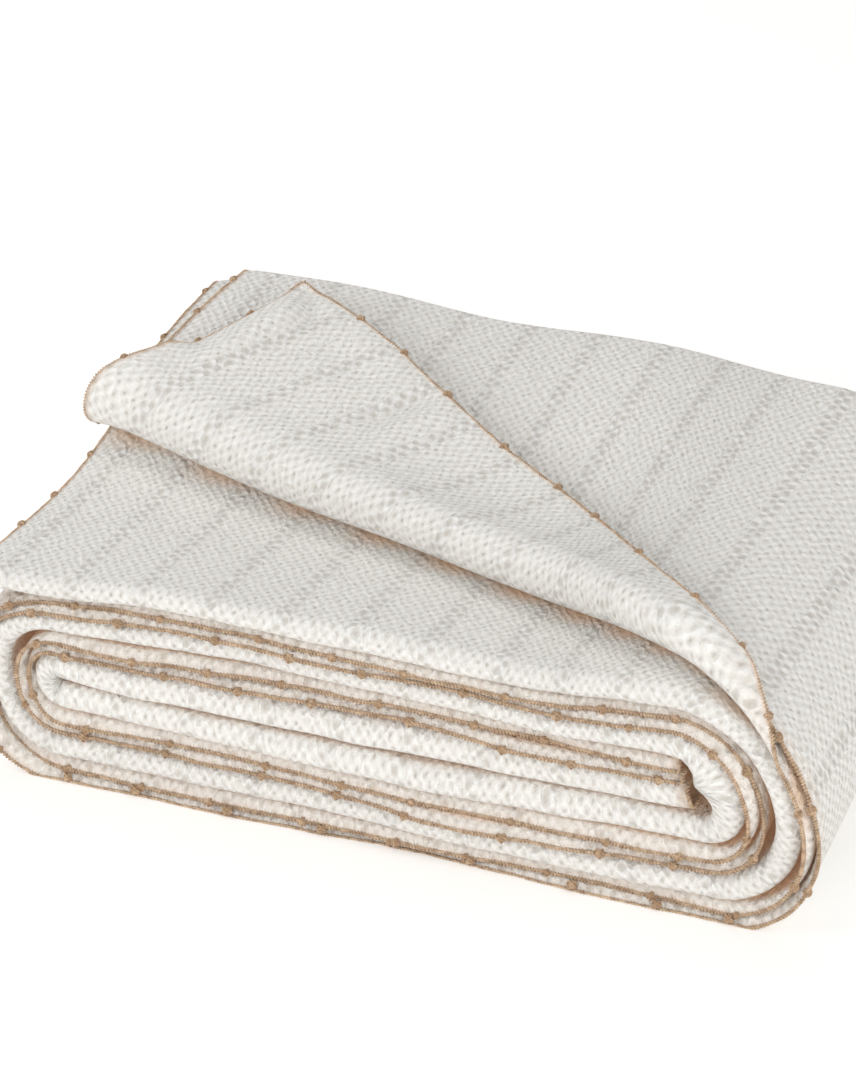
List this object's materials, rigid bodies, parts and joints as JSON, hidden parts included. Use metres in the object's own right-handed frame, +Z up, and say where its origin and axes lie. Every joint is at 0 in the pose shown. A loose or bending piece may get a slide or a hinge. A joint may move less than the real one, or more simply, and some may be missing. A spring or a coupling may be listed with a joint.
{
  "type": "bedspread",
  "caption": "Woven cotton bedspread with a knotted yarn edging, folded in four and rolled flat into a soft stack, one corner laid back.",
  "frame": {"origin": "middle of the bundle's footprint, on the surface it lies on", "axes": "+Z up; +X along the bundle's width, toward the end where the corner is laid back; -Y toward the front edges with the two hems, +Y toward the folded back"},
  "size_m": [0.5483, 0.3895, 0.1875],
  "materials": {
    "cloth": "matt chunky woven cotton, off-white",
    "edging": "matt whipped cotton yarn, tan"
  },
  "bodies": {
    "root": {"cloth": "cloth", "edging": "edging"}
  },
  "joints": []
}
